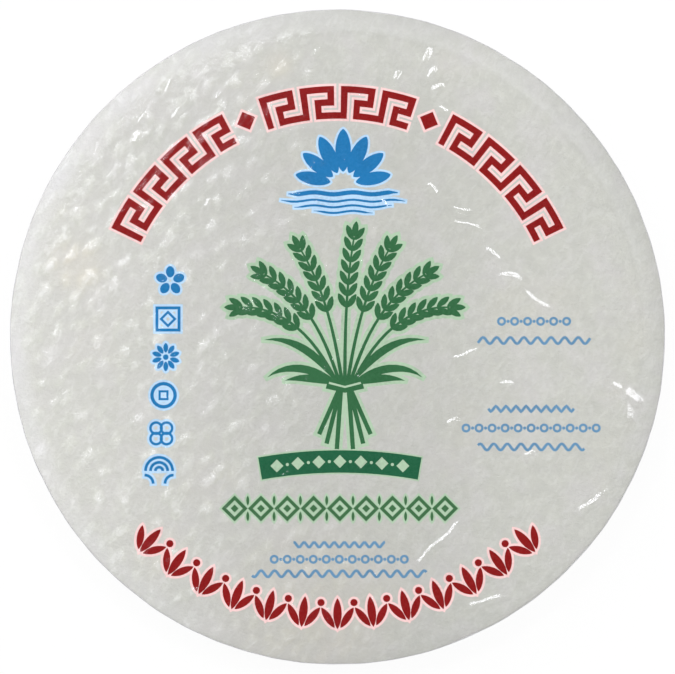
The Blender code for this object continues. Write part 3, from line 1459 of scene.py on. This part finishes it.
def matTintsAndPaintedLight(tree):
    # the paste's warm spots, painted shade in the mat's valleys, painted highlights on its crests and
    # scratchy painted glints, and the painted reflection and painted shade by place
    mark = readMark(tree, "touch")
    valleys = timesValue(tree, spreadValue(tree, mark, 0.2, 0, 0, 0.6), readMark(tree, "cling"))
    strokes = addNode(tree, "ShaderNodeGroup", node_tree=scratchyStrokes).outputs["Strokes"]
    # the strokes are faint grain all over, and painted glints on the bumps
    glints = timesValue(tree, strokes, spreadValue(tree, mark, 0.02, 0.9, 0.11, 0.46))
    return [
        (readMark(tree, "warm"), "paperWarm"),
        (valleys, "paintedValleyShade"),
        (spreadValue(tree, mark, 0.1, 1.2, 0, 0.4), "paintedCrestSheen"),
        (glints, "paintedGlintWhite"),
        (readMark(tree, "edge"), "paintedLilacSheen"),
        (spreadValue(tree, readMark(tree, "shade"), 0, 1.2, 0, 0.36), "paintedShadeTone"),
    ]


def makePaperMaterial(name, marked):
    material, tree = newMaterial(name)
    broad = addMottle(tree, patchSize=0.031, speckSize=0.012)
    coarse = addMottle(tree, patchSize=0.016, speckSize=0.0042)
    fine = addMottle(tree, patchSize=0.0075, speckSize=0.0011)
    colour = mixColours(tree, coarse["Specks"], look["paperDull"], look["paper"])
    tints = [
        (spreadValue(tree, fine["Specks"], 0, 1, 0, 0.55), "paperDull"),
        (spreadValue(tree, broad["Patches"], 0.7, 1, 0, 0.12), "paperWarm"),
        (spreadValue(tree, broad["Specks"], 0.6, 0.1, 0, 0.45), "paperCool"),
    ]
    # of the plain wrappers only the edges show, painted paler for the light that they let through
    tints += matTintsAndPaintedLight(tree) if marked else [(0.65, "paintedEdgeGlow")]
    for factor, tint in tints:
        colour = mixColours(tree, factor, colour, look[tint])
    inputs = {
        "Base Color": colour,
        "Roughness": 0.5,
        "Specular IOR Level": 0.3,
        "Normal": addBump(tree, fine["Specks"], 0.6, 0.00018),
    }
    showSurface(tree, addNode(tree, "ShaderNodeBsdfPrincipled", inputs))
    return material


def makeInkMaterial(name, colour):
    material, tree = newMaterial(name)
    soft = addMottle(tree, patchSize=0.012, speckSize=0.0009)
    worn = look["inkWear"]
    duller = tuple(value * (1 - 2 * worn) for value in colour) + (1,)
    paler = tuple(value + (0.6 - value) * worn * 0.1 for value in colour) + (1,)
    tone = mixColours(tree, soft["Patches"], duller, colour + (1,))
    speckled = mixColours(tree, soft["Specks"], tone, paler)
    inputs = {"Base Color": speckled, "Roughness": 0.5, "Specular IOR Level": 0.0}
    showSurface(tree, addNode(tree, "ShaderNodeBsdfPrincipled", inputs))
    return material


def makeFilmMaterial():
    material, tree = newMaterial("clearFilm")
    place = addNode(tree, "ShaderNodeTexCoord").outputs["Object"]
    inputs = {"Vector": place, "Scale": 150, "Detail": 2}
    ridges = addNode(tree, "ShaderNodeTexNoise", inputs, noise_type="RIDGED_MULTIFRACTAL")
    grain = addNode(tree, "ShaderNodeGroup", node_tree=scratchyStrokes).outputs["Grain"]
    fine = timesValue(tree, grain, readMark(tree, "crinkle"))
    broad = spreadValue(tree, readMark(tree, "loose"), 0, 1, 0.02, 0.06)
    inputs = {0: ridges.outputs["Fac"], 1: broad, 2: fine}
    height = addNode(tree, "ShaderNodeMath", inputs, operation="MULTIPLY_ADD").outputs[0]
    normal = addBump(tree, height, 1.0, 0.0006)
    inputs = {
        "Base Color": look["filmGloss"],
        "Metallic": 1.0,
        "Roughness": spreadValue(tree, readMark(tree, "haze"), 0, 1, 0.11, 0.62),
        "Normal": normal,
    }
    gloss = addNode(tree, "ShaderNodeBsdfPrincipled", inputs)
    clear = addNode(tree, "ShaderNodeBsdfTransparent", {"Color": look["filmClear"]})
    # thin film lets light out as it lets it in, so its back face takes the turned over index
    back = addNode(tree, "ShaderNodeNewGeometry").outputs["Backfacing"]
    index = spreadValue(tree, back, 0, 1, 1.5, 1 / 1.5)
    fresnel = addNode(tree, "ShaderNodeFresnel", {"IOR": index, "Normal": normal}).outputs[0]
    showSurface(tree, mixShaders(tree, fresnel, clear, gloss))
    return material


# the stage

stage = {
    "cameraHeight": 1.25,
    "outlineShare": 0.971,  # of the picture's half width
    "floorSize": 8.0,
    "floorGlow": 0.94,  # how much of the floor's white is its own, which keeps the shadow faint
    "horizon": 0.73,
    "zenith": 0.2,  # how bright straight up is beside the horizon
    "lobe": 1.5,  # how bright the wide soft light from the upper left is
    "lobeToward": (-0.55, 0.55, 0.63),
    "lampBearings": (152, 130, 108, 84, 58, 32, 6),  # round the upper side, from +X
    "lampTilt": 21,  # from straight up, far enough that flat film mirrors none of them
    "lampSize": (0.2, 0.13),
    "lampBrightness": 14.6,
    "lightDistance": 1.3,
}


def makeWorld():
    # bright near the horizon, dim straight up, with a wide soft light from the upper left
    world = bpy.data.worlds.new("studio")
    bpy.context.scene.world = world
    world.use_nodes = True
    tree = world.node_tree
    place = addNode(tree, "ShaderNodeTexCoord").outputs["Generated"]
    height = addNode(tree, "ShaderNodeSeparateXYZ", {0: place}).outputs["Z"]
    upward = spreadValue(tree, height, 0.7, 0.95, stage["horizon"], stage["zenith"])
    inputs = {0: place, 1: stage["lobeToward"]}
    lean = addNode(tree, "ShaderNodeVectorMath", inputs, operation="DOT_PRODUCT").outputs["Value"]
    lobe = spreadValue(tree, lean, 0.8, 0.99, 0.0, stage["lobe"])
    both = addNode(tree, "ShaderNodeMath", {0: upward, 1: lobe}, operation="ADD").outputs[0]
    plug(tree, both, tree.nodes["Background"].inputs["Color"])


def makeFloor():
    deselectAll()
    bpy.ops.mesh.primitive_plane_add(size=stage["floorSize"], location=(0, 0, -0.2 * mm))
    floor = rename("floor")
    material, tree = newMaterial("paleFloor")
    matte = addNode(tree, "ShaderNodeBsdfDiffuse", {"Color": (0.93, 0.93, 0.93, 1)})
    glow = addNode(tree, "ShaderNodeEmission", {"Strength": 1.0})
    showSurface(tree, mixShaders(tree, stage["floorGlow"], matte, glow))
    floor.data.materials.append(material)


def makeLamps():
    # a bow of lamps round the upper side, each turned to the pack's middle
    away = math.radians(stage["lampTilt"])
    flat = math.sin(away) * stage["lightDistance"]
    height = math.cos(away) * stage["lightDistance"]
    length, width = stage["lampSize"]
    for bearing in stage["lampBearings"]:
        around = math.radians(bearing)
        place = (flat * math.cos(around), flat * math.sin(around), height)
        bpy.ops.object.light_add(type="AREA", location=place)
        lamp = bpy.context.object
        lamp.name = f"lamp{bearing}"
        lamp.data.shape = "RECTANGLE"
        lamp.data.size = length
        lamp.data.size_y = width
        lamp.data.energy = stage["lampBrightness"] * math.pi * length * width
        lamp.rotation_euler = (-lamp.location.normalized()).to_track_quat("-Z", "Y").to_euler()


def makeCamera():
    # straight above, with the pack's outline at its share of the picture
    height = stage["cameraHeight"]
    bpy.ops.object.camera_add(location=(0, 0, height), rotation=(0, 0, 0))
    camera = bpy.context.object
    camera.name = "camera"
    rim = packTop - film["faceDrop"] - film["shoulderDrop"]
    spread = packRadius / (height - rim)
    camera.data.lens = camera.data.sensor_width / 2 * stage["outlineShare"] / spread
    camera.data.clip_start = 0.05
    bpy.context.scene.camera = camera
    bpy.context.scene.view_settings.view_transform = "Standard"


makeFloor()
makeWorld()
makeLamps()
makeCamera()
print("stage set")

softMottle = makeMottleGroup()
scratchyStrokes = makeStrokesGroup()
inks = {name: makeInkMaterial(name + "Ink", colour) for name, colour in inkColours.items()}
makeFretBand()
makeSeedlingRow()
makeLotus()
makeSheaf()
makeGreenBand()
makeLozengeRow()
makeOrnamentColumn()
makeFineLines()
print("print laid")

filmWrap = makeFilmWrap()
print("film made", len(filmWrap.data.vertices))
topSheet = reliefSheet(wrapper["count"] - 1, False)
backSheet = reliefSheet(0, True)
innerSheets = makeInnerSheets()
lapSeam = makeLapSeam()
print("wrappers made")

clearFilm = makeFilmMaterial()
markedPaper = makePaperMaterial("markedPaper", True)
plainPaper = makePaperMaterial("plainPaper", False)
for piece, material, slot in (
    (filmWrap, clearFilm, "clear_film"),
    (lapSeam, clearFilm, "clear_film"),
    (topSheet, markedPaper, "rice_paper"),
    (backSheet, markedPaper, "rice_paper"),
    (innerSheets, plainPaper, "rice_paper"),
):
    piece.data.materials.append(material)
    print(piece.name, len(piece.data.polygons))
    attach(piece, "root")
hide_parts("wrapper_pack")
